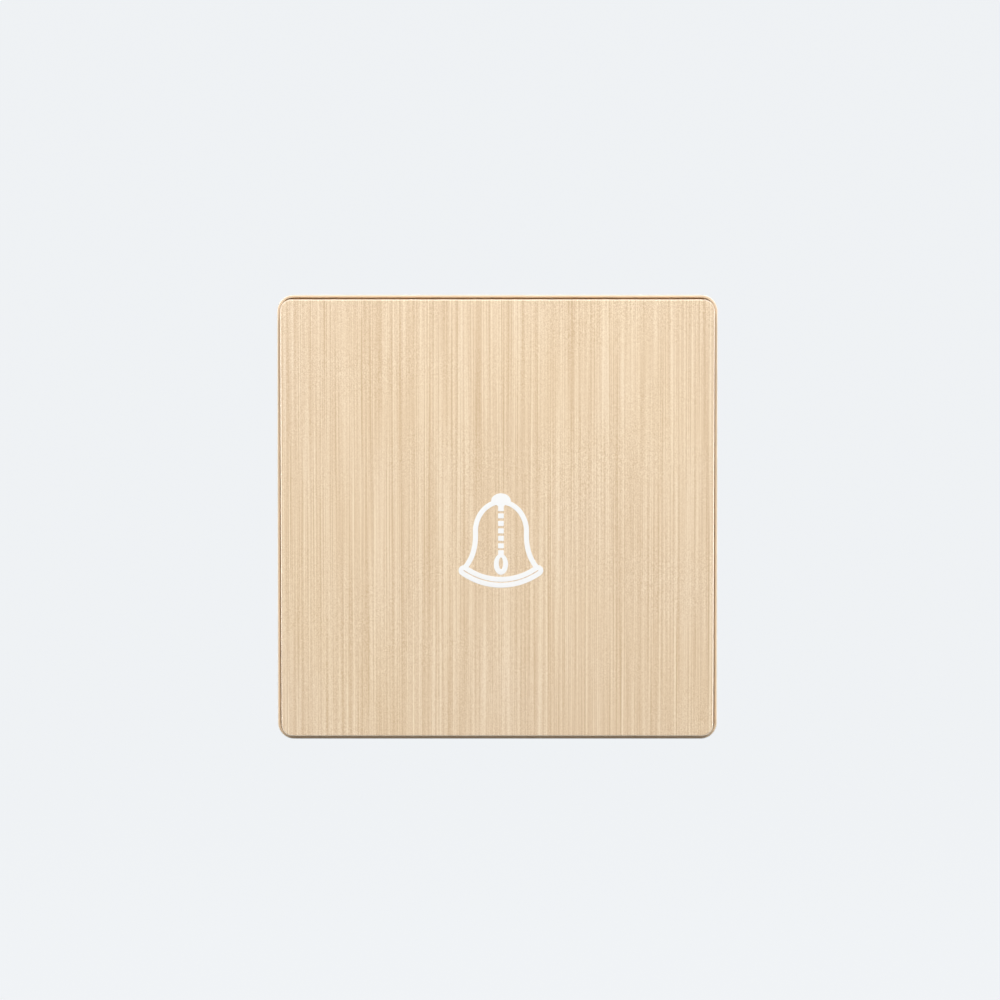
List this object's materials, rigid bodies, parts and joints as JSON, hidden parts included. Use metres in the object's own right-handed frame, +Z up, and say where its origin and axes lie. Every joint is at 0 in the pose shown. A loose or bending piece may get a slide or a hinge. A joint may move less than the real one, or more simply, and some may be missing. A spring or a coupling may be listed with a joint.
{
  "type": "doorbell switch",
  "caption": "Flush wall bell push: a full-face spring-return rocker key over a thin trim frame, on a mounting plate with a contact module behind.",
  "frame": {"origin": "centre of the plane that lies on the wall, in the middle of the plate", "axes": "+Y into the wall, the key faces -Y; +Z up; +X to the right as seen from in front"},
  "size_m": [0.086, 0.0322, 0.0868],
  "materials": {
    "key_finish": "champagne metallic coat with fine upright brush lines",
    "trim_finish": "champagne metallic coat, satin",
    "plate_plastic": "white moulded plastic",
    "cradle_plastic": "white moulded plastic",
    "plunger_plastic": "natural acetal",
    "shell_plastic": "pale grey moulded plastic",
    "contact_copper": "stamped copper alloy",
    "contact_silver": "silver alloy",
    "terminal_brass": "stamped and milled brass",
    "spring_wire": "drawn spring wire",
    "screw_zinc": "zinc-plated steel"
  },
  "bodies": {
    "base": {"trim_frame": "trim_finish", "mounting_plate": "plate_plastic", "return_spring": "spring_wire", "module_shell": "shell_plastic", "contact_cover": "cradle_plastic", "fixed_contact": "contact_silver", "supply_terminal": "terminal_brass", "bell_terminal": "terminal_brass", "supply_pillar": "terminal_brass", "bell_pillar": "terminal_brass", "supply_screw": "screw_zinc", "bell_screw": "screw_zinc", "shell_screws": "screw_zinc"},
    "key": {"rocker_key": "key_finish", "rocker_cradle": "cradle_plastic", "plunger_spring": "spring_wire"},
    "plunger": {"plunger": "plunger_plastic"},
    "seesaw": {"seesaw_contact": "contact_copper", "moving_contact": "contact_silver"}
  },
  "joints": [
    {"name": "key_press", "type": "hinge", "parent": "base", "child": "key", "pos_m": [0, -0.0046, 0], "axis": [-1, 0, 0], "range_deg": [0, 3.2], "stiffness_Nm_per_rad": 0.9, "springref_deg": -2.01, "deforming": ["return_spring"]},
    {"name": "plunger_slide", "type": "slide", "parent": "key", "child": "plunger", "axis": [0, -0.9996, -0.0279], "range_m": [0, 0.0008], "stiffness_N_per_m": 400, "springref_m": -0.002, "deforming": ["plunger_spring"]},
    {"name": "seesaw_tip", "type": "hinge", "parent": "base", "child": "seesaw", "pos_m": [0, 0.011, 0], "axis": [-1, 0, 0], "range_deg": [-12, 0]}
  ],
  "couplings": [
    {"joint": "seesaw_tip", "follows": "key_press", "ratio": -3.74}
  ]
}
